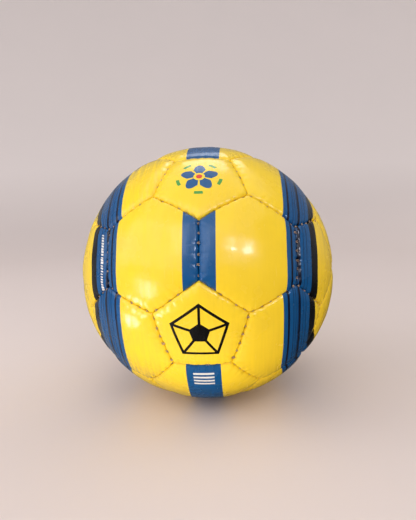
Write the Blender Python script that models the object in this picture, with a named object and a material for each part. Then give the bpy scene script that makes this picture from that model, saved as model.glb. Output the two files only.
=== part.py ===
"""A mini soccer ball: thirty-two sewn cover panels round a rubber bladder with a needle valve.

Metres, +Z up along the valve, origin at the centre of the ball. The front of the ball is -Y.
"""

import math
from collections import namedtuple
from itertools import combinations

import bmesh
import bpy
from mathutils import Matrix, Vector

# Cover panels
BALL_RADIUS = 0.0700
PANEL_THICKNESS = 0.0020
CROWN_FALL = 0.0004
SEAM_DEPTH = 0.0020
ROLL_WIDTH = 0.0026
SEAM_GAP = 0.0007
HEM_DEPTH = 0.0030

# Thread, bladder, and the clearance between pieces that lie on each other
THREAD_DIAMETER = 0.0008
BLADDER_WALL = 0.0010
FIT_GAP = 0.0003

# Plug of the valve, from its needle channel outwards
NEEDLE_RADIUS = 0.0007
NEEDLE_FLARE = 0.0006
NEEDLE_FLARE_DEPTH = 0.0006
NEEDLE_END_WALL = 0.0016
PLUG_WALL = 0.0014
PLUG_LENGTH = 0.0066
PLUG_HEAD_LIP = 0.0005
PLUG_HEAD_THICKNESS = 0.0009
PLUG_PLAY = 0.0002

# Housing of the valve, and the patch where it leaves the bladder
STEM_RIM = 0.0012
STEM_SINK = 0.0006
SEAT_LEDGE = 0.0011
SEAT_THICKNESS = 0.0010
BASE_WIDTH = 0.0060
BASE_THICKNESS = 0.0012
PATCH_WIDTH = 0.0077
PATCH_THICKNESS = 0.0008

# Fineness of the faceted surfaces
SEAM_STEPS = 3
CROWN_RINGS = 2
ROLL_STEPS = 2
TURN_STEPS = 24
BLADDER_RINGS = 9
COLLAR_RINGS = 2
SMOOTH_BELOW = math.radians(50)
SAME_POINT = 0.00001

# What follows from the sizes above
GOLDEN = (1 + math.sqrt(5)) / 2
HEXAGON_TILT = math.atan(1 / GOLDEN**2)
SEAM_ANGLE = 2 * math.asin(1 / math.sqrt(1 + 9 * GOLDEN**2))
LIP_INSET = SEAM_GAP / 2
LIP_RADIUS = BALL_RADIUS - SEAM_DEPTH
SHOULDER_INSET = LIP_INSET + ROLL_WIDTH
SHOULDER_RADIUS = BALL_RADIUS - CROWN_FALL
HEM_INSET = LIP_INSET + PANEL_THICKNESS
HEM_RADIUS = LIP_RADIUS - HEM_DEPTH
LINING_RADIUS = SHOULDER_RADIUS - PANEL_THICKNESS
BLADDER_RADIUS = HEM_RADIUS * math.cos(SEAM_ANGLE / SEAM_STEPS / 2) - FIT_GAP
PLUG_RADIUS = NEEDLE_RADIUS + PLUG_WALL
PLUG_HEAD_RADIUS = PLUG_RADIUS + PLUG_HEAD_LIP
STEM_RADIUS = PLUG_HEAD_RADIUS + PLUG_PLAY + STEM_RIM
STEM_TOP = BALL_RADIUS - STEM_SINK
HOLE_RADIUS = STEM_RADIUS + FIT_GAP
BASE_RADIUS = STEM_RADIUS + BASE_WIDTH
PATCH_RADIUS = HOLE_RADIUS + PATCH_WIDTH

YELLOW = (0.86, 0.62, 0.03)
THREAD_TAN = (0.62, 0.52, 0.40)
LATEX_BROWN = (0.42, 0.30, 0.18)
VALVE_BLACK = (0.02, 0.02, 0.022)
PLUG_GREY = (0.06, 0.06, 0.065)
PATCH_GREY = (0.35, 0.34, 0.32)

Panel = namedtuple("Panel", "name axis keys")
Seam = namedtuple("Seam", "ends panels")


def clear_scene():
    """Remove whatever the file holds."""
    for obj in list(bpy.data.objects):
        bpy.data.objects.remove(obj)


def make_material(name, colour, roughness):
    """A plain non-metal finish."""
    material = bpy.data.materials.new(name)
    material.use_nodes = True
    shader = material.node_tree.nodes["Principled BSDF"]
    shader.inputs["Base Color"].default_value = (*colour, 1)
    shader.inputs["Roughness"].default_value = roughness
    shader.inputs["Metallic"].default_value = 0
    return material


def finish_mesh(name, shape, material):
    """Turn a closed shape into a mesh with its faces outwards and its round stretches smooth."""
    bmesh.ops.recalc_face_normals(shape, faces=shape.faces)
    mesh = bpy.data.meshes.new(name)
    shape.to_mesh(mesh)
    shape.free()
    mesh.shade_smooth()
    mesh.set_sharp_from_angle(angle=SMOOTH_BELOW)
    mesh.materials.append(material)
    return mesh


def add_object(name, mesh):
    """Put a mesh into the scene under the name of its piece."""
    obj = bpy.data.objects.new(name, mesh)
    bpy.context.collection.objects.link(obj)
    return obj


# The net of the ball: where each panel and each seam lies

def pentagon_axes():
    """The twelve corners of an icosahedron, tilted so that +Z runs through one of its faces."""
    tilt = Matrix.Rotation(-HEXAGON_TILT, 3, "X")
    axes = []
    for near in (-1, 1):
        for far in (-GOLDEN, GOLDEN):
            axes += [Vector((0, far, near)), Vector((far, near, 0)), Vector((near, 0, far))]
    return [tilt @ axis for axis in axes]


def compass(direction):
    """The side of the ball that a direction points to, in words."""
    azimuth = math.degrees(math.atan2(direction.x, -direction.y))
    side = "right" if azimuth > 0 else "left"
    turn = abs(azimuth)
    if turn < 15:
        return "front"
    if turn < 75:
        return "front_" + side
    if turn < 105:
        return side
    if turn < 165:
        return "back_" + side
    return "back"


def panel_name(kind, axis):
    """A name from the panel's shape, its level on the ball and the side that it faces."""
    if abs(axis.z) > 0.99:
        return kind + ("_top" if axis.z > 0 else "_bottom")
    if abs(axis.z) > 0.5:
        level = "upper" if axis.z > 0 else "lower"
    else:
        level = "high" if axis.z > 0 else "low"
    return f"{kind}_{level}_{compass(axis)}"


def panel_on_net(kind, centre, keys, corner):
    """A panel with the keys of its corners in turn, counterclockwise from outside."""
    axis = centre.normalized()
    across = (corner[keys[0]] - axis * axis.dot(corner[keys[0]])).normalized()
    up = axis.cross(across)
    turns = {key: math.atan2(corner[key].dot(up), corner[key].dot(across)) % math.tau for key in keys}
    return Panel(panel_name(kind, axis), axis, sorted(keys, key=turns.get))


def ball_net():
    """The panels, the seams between them, and the direction of each corner.

    A corner lies a third of the way along an icosahedron's edge. Its key is that edge, from the near end.
    """
    axes = pentagon_axes()
    edge_length = min((axes[0] - other).length for other in axes[1:])
    beside = {}
    for a, b in combinations(range(len(axes)), 2):
        if (axes[a] - axes[b]).length < 1.1 * edge_length:
            beside.setdefault(a, []).append(b)
            beside.setdefault(b, []).append(a)

    corner = {(a, b): (2 * axes[a] + axes[b]).normalized() for a in beside for b in beside[a]}
    panels = [panel_on_net("pentagon", axes[a], [(a, b) for b in beside[a]], corner) for a in beside]
    for a, b, c in combinations(range(len(axes)), 3):
        if b in beside[a] and c in beside[a] and c in beside[b]:
            keys = [(a, b), (b, a), (b, c), (c, b), (c, a), (a, c)]
            panels.append(panel_on_net("hexagon", axes[a] + axes[b] + axes[c], keys, corner))

    sides = {}
    for panel in panels:
        for ends in zip(panel.keys, panel.keys[1:] + panel.keys[:1]):
            sides.setdefault(tuple(sorted(ends)), []).append(panel)
    seams = [Seam(ends, both) for ends, both in sides.items()]
    return panels, seams, corner


# Cover panels

def corners_about_z(sides, spread):
    """Corner directions of a panel whose axis is +Z, the first corner towards +X."""
    turns = [math.tau * k / sides for k in range(sides)]
    reach, height = math.sin(spread), math.cos(spread)
    return [Vector((reach * math.cos(turn), reach * math.sin(turn), height)) for turn in turns]


def inset_ring(corners, inset, radius):
    """A loop round a panel at one distance from its seam planes and one distance from the ball's centre."""
    count = len(corners)
    normals = [corners[k].cross(corners[(k + 1) % count]).normalized() for k in range(count)]
    bends = []
    for k in range(count):
        before, after = normals[k - 1], normals[k]
        sideways = (before + after) * (inset / (1 + before.dot(after)))
        outward = before.cross(after).normalized()
        bends.append(sideways + outward * math.sqrt(radius**2 - sideways.length_squared))
    ring = []
    for k in range(count):
        for step in range(SEAM_STEPS):
            along = bends[k].lerp(bends[(k + 1) % count], step / SEAM_STEPS)
            along -= normals[k] * along.dot(normals[k])
            ring.append(normals[k] * inset + along.normalized() * math.sqrt(radius**2 - inset**2))
    return ring


def drawn_in_ring(ring, share, radius):
    """A loop drawn in towards the panel's axis."""
    return [Vector((p.x * share, p.y * share, p.z)).normalized() * radius for p in ring]


def round_ring(ring, hole_radius, radius):
    """A round loop about the panel's axis, with its points opposite those of another loop."""
    height = math.sqrt(radius**2 - hole_radius**2)
    return [Vector((p.x, p.y, 0)).normalized() * hole_radius + Vector((0, 0, height)) for p in ring]


def panel_rings(sides, spread):
    """The loops of one panel about +Z, from its crown over the rounded edge and the hem to its lining."""
    corners = corners_about_z(sides, spread)
    shoulder = inset_ring(corners, SHOULDER_INSET, SHOULDER_RADIUS)
    rings = []
    for step in range(1, CROWN_RINGS):
        share = step / CROWN_RINGS
        rings.append(drawn_in_ring(shoulder, share, BALL_RADIUS - CROWN_FALL * share**2))
    rings.append(shoulder)
    for step in range(1, ROLL_STEPS + 1):
        turn = math.pi / 2 * step / ROLL_STEPS
        inset = SHOULDER_INSET - ROLL_WIDTH * math.sin(turn)
        radius = LIP_RADIUS + (SHOULDER_RADIUS - LIP_RADIUS) * math.cos(turn)
        rings.append(inset_ring(corners, inset, radius))
    rings.append(inset_ring(corners, LIP_INSET, HEM_RADIUS))
    rings.append(inset_ring(corners, HEM_INSET, HEM_RADIUS))
    lining = inset_ring(corners, HEM_INSET, LINING_RADIUS)
    rings.append(lining)
    rings.append(drawn_in_ring(lining, 0.5, LINING_RADIUS))
    return rings


def join_rings(shape, loops):
    """Faces between loops of as many points."""
    for first, second in zip(loops, loops[1:]):
        for k in range(len(first)):
            shape.faces.new((first[k - 1], second[k - 1], second[k], first[k]))


def closed_panel(name, sides, spread, material):
    """A panel whose crown and lining close at the middle."""
    shape = bmesh.new()
    loops = [[shape.verts.new(point) for point in ring] for ring in panel_rings(sides, spread)]
    join_rings(shape, loops)
    for loop, height in ((loops[0], BALL_RADIUS), (loops[-1], LINING_RADIUS)):
        middle = shape.verts.new((0, 0, height))
        for k in range(len(loop)):
            shape.faces.new((middle, loop[k - 1], loop[k]))
    return finish_mesh(name, shape, material)


def valve_panel(name, sides, spread, material):
    """A panel with a round hole through its middle for the stem of the valve."""
    shape = bmesh.new()
    rings = panel_rings(sides, spread)
    rings.insert(0, round_ring(rings[0], HOLE_RADIUS, BALL_RADIUS))
    rings.append(round_ring(rings[0], HOLE_RADIUS, LINING_RADIUS))
    loops = [[shape.verts.new(point) for point in ring] for ring in rings]
    join_rings(shape, loops + loops[:1])
    return finish_mesh(name, shape, material)


def add_panels(panels, corner, material):
    """Every panel as its own object. Panels of one shape share a mesh; the top one has the valve's hole."""
    meshes = {}
    for panel in panels:
        first = corner[panel.keys[0]]
        sides = len(panel.keys)
        shape = "valve_panel" if panel.name == "hexagon_top" else f"panel_of_{sides}"
        if shape not in meshes:
            make = valve_panel if shape == "valve_panel" else closed_panel
            meshes[shape] = make(shape, sides, panel.axis.angle(first), material)
        across = (first - panel.axis * panel.axis.dot(first)).normalized()
        turn = Matrix((across, panel.axis.cross(across), panel.axis)).transposed()
        add_object(panel.name, meshes[shape]).matrix_world = turn.to_4x4()


# Seam thread

def thread_radius():
    """Distance of the thread from the ball's centre: in the valley of the seam, clear of both edges."""
    turn = math.pi / 2 * (1 - 1 / ROLL_STEPS)
    across = ROLL_WIDTH * (1 - math.sin(turn))
    rise = (SHOULDER_RADIUS - LIP_RADIUS) * math.cos(turn)
    reach = THREAD_DIAMETER / 2 + FIT_GAP
    return LIP_RADIUS + (math.hypot(across, rise) * reach - rise * LIP_INSET) / across


def thread_knots(shape, seams, corner, cut_ends):
    """The rings where seams of one thread meet, with shared corners: one for each seam that leaves."""
    leaving = {}
    for seam in seams:
        for start, end in (seam.ends, seam.ends[::-1]):
            if start not in cut_ends:
                leaving.setdefault(start, []).append(end)
    radius, half = thread_radius(), THREAD_DIAMETER / 2
    rings = {}
    for start, ends in leaving.items():
        up = corner[start]
        ways = {end: (corner[end] - up * up.dot(corner[end])).normalized() for end in ends}
        across = ways[ends[0]]
        beside = up.cross(across)
        turns = {end: math.atan2(beside.dot(way), across.dot(way)) % math.tau for end, way in ways.items()}
        ends = sorted(ends, key=turns.get)
        top = shape.verts.new(up * (radius + half))
        bottom = shape.verts.new(up * (radius - half))
        forks = []
        for end, following in zip(ends, ends[1:] + ends[:1]):
            half_turn = (turns[following] - turns[end]) % math.tau / 2
            way = Matrix.Rotation(half_turn, 3, up) @ ways[end]
            forks.append(shape.verts.new(up * radius + way * half / math.sin(half_turn)))
        for k, end in enumerate(ends):
            rings[start, end] = [top, forks[k], bottom, forks[k - 1]]
    return rings


def thread_ring(shape, direction, sideways):
    """The thread's corners where it crosses one point of a seam: top, left, bottom, right."""
    half = THREAD_DIAMETER / 2
    offsets = (direction * half, sideways * half, -direction * half, -sideways * half)
    return [shape.verts.new(direction * thread_radius() + offset) for offset in offsets]


def add_thread(name, seams, corner, cut_ends, material):
    """One thread through several seams. It stops short of cut_ends, where another thread passes."""
    shape = bmesh.new()
    knots = thread_knots(shape, seams, corner, cut_ends)
    short = (THREAD_DIAMETER + FIT_GAP) / (thread_radius() * SEAM_ANGLE)
    for seam in seams:
        start, end = seam.ends
        sideways = corner[start].cross(corner[end]).normalized()
        low = short if start in cut_ends else 0
        high = 1 - short if end in cut_ends else 1
        rings = []
        for step in range(SEAM_STEPS + 1):
            if step == 0 and start not in cut_ends:
                rings.append(knots[start, end])
            elif step == SEAM_STEPS and end not in cut_ends:
                top, left, bottom, right = knots[end, start]
                rings.append([top, right, bottom, left])
            else:
                share = low + (high - low) * step / SEAM_STEPS
                rings.append(thread_ring(shape, corner[start].slerp(corner[end], share), sideways))
        join_rings(shape, rings)
        if start in cut_ends:
            shape.faces.new(rings[0])
        if end in cut_ends:
            shape.faces.new(rings[-1])
    add_object(name, finish_mesh(name, shape, material))


def add_threads(seams, corner, material):
    """Each half of the cover is sewn by itself, and a closing seam round the middle joins the halves."""
    upper, lower, closing = [], [], []
    for seam in seams:
        above = [panel.axis.z > 0 for panel in seam.panels]
        group = upper if all(above) else closing if any(above) else lower
        group.append(seam)
    on_closing = {end for seam in closing for end in seam.ends}
    add_thread("thread_upper_half", upper, corner, on_closing, material)
    add_thread("thread_lower_half", lower, corner, on_closing, material)
    add_thread("thread_closing_seam", closing, corner, set(), material)


# Bladder and valve, all turned about +Z

def arc(radius, from_angle, to_angle, steps):
    """Points (distance from the axis, height) on a circle about the ball's centre, angles from +Z."""
    angles = [from_angle + (to_angle - from_angle) * k / steps for k in range(steps + 1)]
    return [(radius * math.sin(angle), radius * math.cos(angle)) for angle in angles]


def add_turned(name, profile, material):
    """Turn an outline of (distance from the axis, height) about +Z, closed if it starts off the axis."""
    shape = bmesh.new()
    points = [shape.verts.new((distance, 0, height)) for distance, height in profile]
    outline = [shape.edges.new(pair) for pair in zip(points, points[1:])]
    if profile[0][0] > 0:
        outline.append(shape.edges.new((points[-1], points[0])))
    axis, centre = (0, 0, 1), (0, 0, 0)
    bmesh.ops.spin(shape, geom=points + outline, axis=axis, cent=centre, angle=math.tau, steps=TURN_STEPS)
    bmesh.ops.remove_doubles(shape, verts=shape.verts, dist=SAME_POINT)
    add_object(name, finish_mesh(name, shape, material))


def add_bladder(material):
    """A hollow ball with a round mouth at the top, where the valve passes through its wall."""
    collar = max(PATCH_RADIUS, BASE_RADIUS)
    walls = []
    for radius in (BLADDER_RADIUS - BLADDER_WALL, BLADDER_RADIUS):
        mouth, edge = math.asin(HOLE_RADIUS / radius), math.asin(collar / radius)
        wall = arc(radius, mouth, edge, COLLAR_RINGS) + arc(radius, edge, math.pi, BLADDER_RINGS)[1:-1]
        walls.append(wall + [(0, -radius)])
    inside, outside = walls
    add_turned("bladder", inside[::-1] + outside, material)


def add_valve_patch(material):
    """A ring of cloth on the bladder, round its mouth."""
    low = BLADDER_RADIUS + FIT_GAP
    high = low + PATCH_THICKNESS
    top = arc(high, math.asin(HOLE_RADIUS / high), math.asin(PATCH_RADIUS / high), COLLAR_RINGS)
    bottom = arc(low, math.asin(PATCH_RADIUS / low), math.asin(HOLE_RADIUS / low), COLLAR_RINGS)
    add_turned("valve_patch", top + bottom, material)


def add_valve_housing(material):
    """A rubber stem through the cover, on a dished base under the wall of the bladder."""
    under_wall = BLADDER_RADIUS - BLADDER_WALL - FIT_GAP
    base_inner = math.sqrt(under_wall**2 - STEM_RADIUS**2)
    base_outer = math.sqrt(under_wall**2 - BASE_RADIUS**2)
    head_seat = STEM_TOP - PLUG_HEAD_THICKNESS - PLUG_PLAY
    plug_seat = STEM_TOP - PLUG_LENGTH - PLUG_PLAY
    floor = min(plug_seat - SEAT_THICKNESS, base_inner - BASE_THICKNESS)
    bore = PLUG_RADIUS + PLUG_PLAY
    head_bore = PLUG_HEAD_RADIUS + PLUG_PLAY
    air_hole = bore - SEAT_LEDGE
    outside = [
        (STEM_RADIUS, STEM_TOP),
        (STEM_RADIUS, base_inner),
        (BASE_RADIUS, base_outer),
        (BASE_RADIUS, base_outer - BASE_THICKNESS),
        (STEM_RADIUS, floor),
    ]
    inside = [
        (air_hole, floor),
        (air_hole, plug_seat),
        (bore, plug_seat),
        (bore, head_seat),
        (head_bore, head_seat),
        (head_bore, STEM_TOP),
    ]
    add_turned("valve_housing", outside + inside, material)


def add_valve_core(material):
    """The plug that pulls out of the housing, with a blind channel for the pump's needle."""
    bottom = STEM_TOP - PLUG_LENGTH
    under_head = STEM_TOP - PLUG_HEAD_THICKNESS
    channel = [
        (0, bottom + NEEDLE_END_WALL),
        (NEEDLE_RADIUS, bottom + NEEDLE_END_WALL),
        (NEEDLE_RADIUS, STEM_TOP - NEEDLE_FLARE_DEPTH),
        (NEEDLE_RADIUS + NEEDLE_FLARE, STEM_TOP),
    ]
    outside = [
        (PLUG_HEAD_RADIUS, STEM_TOP),
        (PLUG_HEAD_RADIUS, under_head),
        (PLUG_RADIUS, under_head),
        (PLUG_RADIUS, bottom),
        (0, bottom),
    ]
    add_turned("valve_core", channel + outside, material)


def main():
    """Build the ball, from the cover inwards."""
    clear_scene()
    panels, seams, corner = ball_net()
    add_panels(panels, corner, make_material("cover_yellow", YELLOW, 0.32))
    add_threads(seams, corner, make_material("thread_tan", THREAD_TAN, 0.75))
    add_bladder(make_material("bladder_latex", LATEX_BROWN, 0.5))
    add_valve_patch(make_material("patch_cloth", PATCH_GREY, 0.85))
    add_valve_housing(make_material("valve_black", VALVE_BLACK, 0.5))
    add_valve_core(make_material("plug_grey", PLUG_GREY, 0.45))


main()
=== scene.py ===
"""A mini soccer ball, dressed: sewn glossy panels, stitches in the seams and a rubber needle valve.

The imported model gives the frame: metres, +Z up along the valve, the ball's centre at the origin and
its front at -Y.
"""

import logging
import math
from dataclasses import dataclass, field
from enum import Enum
from functools import reduce
from itertools import combinations
from typing import Callable, Optional, Sequence, Union

import bpy
import numpy as np
from mathutils import Color, Matrix, Vector


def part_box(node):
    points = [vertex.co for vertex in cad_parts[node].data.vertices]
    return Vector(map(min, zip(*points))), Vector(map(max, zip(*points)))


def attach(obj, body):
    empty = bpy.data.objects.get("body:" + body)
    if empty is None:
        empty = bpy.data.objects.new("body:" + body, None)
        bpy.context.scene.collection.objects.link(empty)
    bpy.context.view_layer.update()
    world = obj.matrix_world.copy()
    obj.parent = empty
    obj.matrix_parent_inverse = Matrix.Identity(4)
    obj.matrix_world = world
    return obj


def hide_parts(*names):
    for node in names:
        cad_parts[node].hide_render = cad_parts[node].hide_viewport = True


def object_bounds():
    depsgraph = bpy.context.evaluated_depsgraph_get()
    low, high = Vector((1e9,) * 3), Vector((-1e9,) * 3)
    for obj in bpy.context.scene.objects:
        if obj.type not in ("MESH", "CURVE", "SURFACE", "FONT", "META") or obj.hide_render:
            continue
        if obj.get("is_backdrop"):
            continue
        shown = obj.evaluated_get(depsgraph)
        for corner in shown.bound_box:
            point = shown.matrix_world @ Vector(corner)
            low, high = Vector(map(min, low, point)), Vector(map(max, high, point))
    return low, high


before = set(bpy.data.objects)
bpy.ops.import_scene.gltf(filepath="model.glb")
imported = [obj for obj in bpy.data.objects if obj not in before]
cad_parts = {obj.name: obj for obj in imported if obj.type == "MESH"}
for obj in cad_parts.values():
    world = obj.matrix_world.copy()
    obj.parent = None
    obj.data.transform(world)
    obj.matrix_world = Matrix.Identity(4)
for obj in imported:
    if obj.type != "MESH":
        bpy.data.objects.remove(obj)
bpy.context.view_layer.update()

log = logging.getLogger("mini_ball")

Colour = tuple[float, float, float, float]
Span = tuple[float, float]
Socket = bpy.types.NodeSocket
Value = Union[Socket, float, Sequence[float]]
Lengths = Union[float, np.ndarray]

MM = 0.001
TINY = 1e-9
GOLDEN = (1 + math.sqrt(5)) / 2
HEXAGON_TILT = math.atan(1 / GOLDEN**2)
BALL_RADIUS = -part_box("hexagon_bottom")[0].z
PRINT_WIDTH = 2 * BALL_RADIUS
TOP_PANEL = "hexagon_top"
SHADER = "Principled BSDF"
UV_PRINT = "print"
UV_STRAND = "UVMap"
STREAKS = "streaks"
SEAM_PLACE = "seam_place"
# A face looks along +Z or -Z where its normal's height is past this.
LOOKS_ALONG = 0.9
# How high a panel's axis points: past the first it is the top or the bottom panel, past the second an
# upper or a lower one, and otherwise a high or a low one.
POLAR = 0.99
OUTER = 0.5
# The words for the side that a panel faces, up to each angle from the front in degrees.
FACINGS = ((15, "front"), (75, "front_{}"), (105, "{}"), (165, "back_{}"), (181, "back"))
# Rows from a panel's middle to its rim, those of them on the rolled edge, and loops of the hem below it.
ROWS = 56
ROLL_ROWS = 14
HEM_LOOPS = 3
# How far out each loop of a panel's lining lies, from the hem to the middle.
LINING_SHARES = (1.0, 0.75, 0.5, 0.25, 0.0)
# How far the print of each panel in the photograph lies off its place, to the right.
PRINT_SHIFTS = {
    "hexagon_upper_front_left": 1.0 * MM,
    "hexagon_high_front_left": 0.0 * MM,
    "pentagon_high_front_left": 1.4 * MM,
    "hexagon_low_front_left": 1.3 * MM,
    "hexagon_upper_front_right": -0.25 * MM,
    "hexagon_high_front_right": 0.4 * MM,
    "pentagon_high_front_right": -0.6 * MM,
    "hexagon_low_front_right": -1.4 * MM,
}
# How strongly the sheet is streaked on the panels in the photograph.
STREAK_SHARES = {
    "hexagon_upper_front_left": 1.0,
    "hexagon_low_front_left": 1.0,
    "pentagon_low_front": 0.6,
    "pentagon_upper_front": 0.2,
    "hexagon_upper_front_right": 0.15,
    "hexagon_low_front_right": 0.3,
    "hexagon_high_front_left": 0.3,
    "hexagon_high_front_right": 0.2,
}


def ink(red: int, green: int, blue: int) -> Colour:
    """A colour from its screen values, 0 to 255, as the shaders want it."""
    screen = Color((red / 255, green / 255, blue / 255))
    return (*screen.from_srgb_to_scene_linear(), 1.0)


def unit(vectors: np.ndarray) -> np.ndarray:
    """Vectors of length one, along the last axis."""
    return vectors / np.linalg.norm(vectors, axis=-1, keepdims=True)


def bell(distance: np.ndarray, width: float) -> np.ndarray:
    """A share that is 1 at no distance and falls off smoothly over a width."""
    return np.exp(-((distance / width) ** 2))


def start_clean() -> None:
    """Leave edit mode and select nothing, so that the next operator touches its own piece only."""
    if bpy.context.object and bpy.context.object.mode != "OBJECT":
        bpy.ops.object.mode_set(mode="OBJECT")
    bpy.ops.object.select_all(action="DESELECT")


def make_active(piece: bpy.types.Object) -> None:
    """Select one piece alone and make it the active one.

    Args:
        piece: The piece.
    """
    start_clean()
    piece.select_set(True)
    bpy.context.view_layer.objects.active = piece


def select_faces(wanted: Callable[[Vector], bool]) -> None:
    """Select, in edit mode, the faces of the active piece whose normals are wanted, and no others.

    Args:
        wanted: Says whether a face with a given normal is wanted.
    """
    bpy.ops.mesh.select_mode(type="FACE")
    bpy.ops.mesh.select_all(action="DESELECT")
    bpy.ops.object.mode_set(mode="OBJECT")
    for face in bpy.context.object.data.polygons:
        face.select = wanted(face.normal)
    bpy.ops.object.mode_set(mode="EDIT")


def take_mesh() -> bpy.types.Mesh:
    """Leave edit mode, and keep the active piece's mesh without its object.

    Returns:
        The mesh.
    """
    bpy.ops.object.mode_set(mode="OBJECT")
    piece = bpy.context.object
    mesh = piece.data.copy()
    bpy.data.objects.remove(piece)
    return mesh


def points_of(mesh: bpy.types.Mesh) -> np.ndarray:
    """The places of a mesh's points.

    Args:
        mesh: The mesh.

    Returns:
        A row of three numbers for each point.
    """
    points = np.zeros(len(mesh.vertices) * 3)
    mesh.vertices.foreach_get("co", points)
    return points.reshape(-1, 3)


def add_piece(name: str, mesh: bpy.types.Mesh) -> bpy.types.Object:
    """Show a mesh as a new object at the origin.

    Args:
        name: The object's name.
        mesh: The mesh.

    Returns:
        The object.
    """
    piece = bpy.data.objects.new(name, mesh)
    bpy.context.scene.collection.objects.link(piece)
    return piece


def mount(piece: bpy.types.Object, body: str, slot: str, *nodes: str) -> None:
    """Tie a finished piece to its body, and hide the nodes that it stands for.

    Args:
        piece: The finished piece.
        body: The body that it moves with.
        slot: The record's material slot. Not used.
        nodes: The nodes that it stands for.
    """
    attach(piece, body)
    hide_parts(*nodes)
    log.info("%s: %d faces, rides on %s", piece.name, len(piece.data.polygons), body)


class NodeSheet:
    """A node tree that is being filled, with short calls for adding and wiring nodes."""

    def __init__(self, tree: bpy.types.NodeTree) -> None:
        """Keep the tree."""
        self.tree = tree

    def feed(self, socket: Socket, value: Value) -> None:
        """Wire another socket into this one, or set its value."""
        if isinstance(value, bpy.types.NodeSocket):
            self.tree.links.new(value, socket)
        else:
            socket.default_value = value

    def add(self, kind: str, inputs: Optional[dict] = None, **settings: object) -> bpy.types.Node:
        """Add a node.

        Args:
            kind: The node's type.
            inputs: Values or sockets for its inputs, by name or number.
            settings: Values for its own properties.

        Returns:
            The node.
        """
        node = self.tree.nodes.new(kind)
        for name, value in settings.items():
            setattr(node, name, value)
        for name, value in (inputs or {}).items():
            self.feed(node.inputs[name], value)
        return node

    def dress(self, node: str, values: dict[str, Value]) -> None:
        """Wire or set inputs of a node that the tree already has, by their names."""
        for name, value in values.items():
            self.feed(self.tree.nodes[node].inputs[name], value)

    def math(self, operation: str, *values: Value) -> Socket:
        """The result of one sum on values or sockets."""
        return self.add("ShaderNodeMath", dict(enumerate(values)), operation=operation).outputs[0]

    def all_of(self, *masks: Value) -> Socket:
        """A mask that holds where each of several masks holds."""
        return reduce(lambda first, second: self.math("MULTIPLY", first, second), masks)

    def any_of(self, *masks: Value) -> Socket:
        """A mask that holds where at least one of several masks holds."""
        return reduce(lambda first, second: self.math("MAXIMUM", first, second), masks)

    def below(self, value: Value, limit: Value) -> Socket:
        """A mask that holds where a value is below a limit."""
        return self.math("LESS_THAN", value, limit)

    def between(self, value: Value, limits: Span) -> Socket:
        """A mask that holds where a value lies between two limits."""
        return self.all_of(self.math("GREATER_THAN", value, limits[0]), self.below(value, limits[1]))

    def mix(self, share: Value, first: Value, second: Value, blend: str = "MIX") -> Socket:
        """A colour between two, by a share."""
        inputs = {0: share, 6: first, 7: second}
        return self.add("ShaderNodeMix", inputs, data_type="RGBA", blend_type=blend).outputs[2]

    def range(self, value: Value, old: Span, new: tuple[Value, Value]) -> Socket:
        """A value carried from one range to another, and kept within it."""
        inputs = dict(enumerate((value, *old, *new)))
        return self.add("ShaderNodeMapRange", inputs).outputs[0]

    def place(self) -> Socket:
        """Where a point lies on its object."""
        return self.add("ShaderNodeTexCoord").outputs["Object"]

    def noise(self, place: Value, scale: Value, detail: float) -> Socket:
        """Soft noise over places."""
        inputs = {"Vector": place, "Scale": scale, "Detail": detail}
        return self.add("ShaderNodeTexNoise", inputs).outputs[0]

    def bump(
        self, height: Value, depth: float, strength: float = 1.0, over: Optional[Socket] = None
    ) -> Socket:
        """A normal with relief.

        Args:
            height: The relief, as a share of its depth.
            depth: How deep the relief is.
            strength: How much of it shows.
            over: The normal that it comes on top of, if any.

        Returns:
            The normal.
        """
        inputs = {"Strength": strength, "Distance": depth, "Height": height}
        if over is not None:
            inputs["Normal"] = over
        return self.add("ShaderNodeBump", inputs).outputs[0]

    def group(self, tree: bpy.types.NodeTree, inputs: dict[str, Value]) -> bpy.types.NodeOutputs:
        """The outputs of a shared effect, with this material's own values."""
        return self.add("ShaderNodeGroup", inputs, node_tree=tree).outputs


def new_group(name: str, inputs: dict[str, float], outputs: dict[str, str]) -> tuple[NodeSheet, dict, dict]:
    """Start a shared effect.

    Args:
        name: What the effect is called.
        inputs: Its number inputs and their usual values.
        outputs: Its outputs and their socket types.

    Returns:
        The sheet to fill, its input sockets by name and the sockets to feed its outputs by name.
    """
    tree = bpy.data.node_groups.new(name, "ShaderNodeTree")
    for label, usual in inputs.items():
        tree.interface.new_socket(label, in_out="INPUT", socket_type="NodeSocketFloat").default_value = usual
    for label, kind in outputs.items():
        tree.interface.new_socket(label, in_out="OUTPUT", socket_type=kind)
    sheet = NodeSheet(tree)
    entry, leave = sheet.add("NodeGroupInput"), sheet.add("NodeGroupOutput")
    taken = {label: entry.outputs[label] for label in inputs}
    given = {label: leave.inputs[label] for label in outputs}
    return sheet, taken, given


def new_material(name: str) -> tuple[bpy.types.Material, NodeSheet]:
    """Start a material, which has a Principled shader.

    Args:
        name: What the material is called.

    Returns:
        The material and its sheet of nodes.
    """
    material = bpy.data.materials.new(name)
    material.use_nodes = True
    return material, NodeSheet(material.node_tree)


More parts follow.
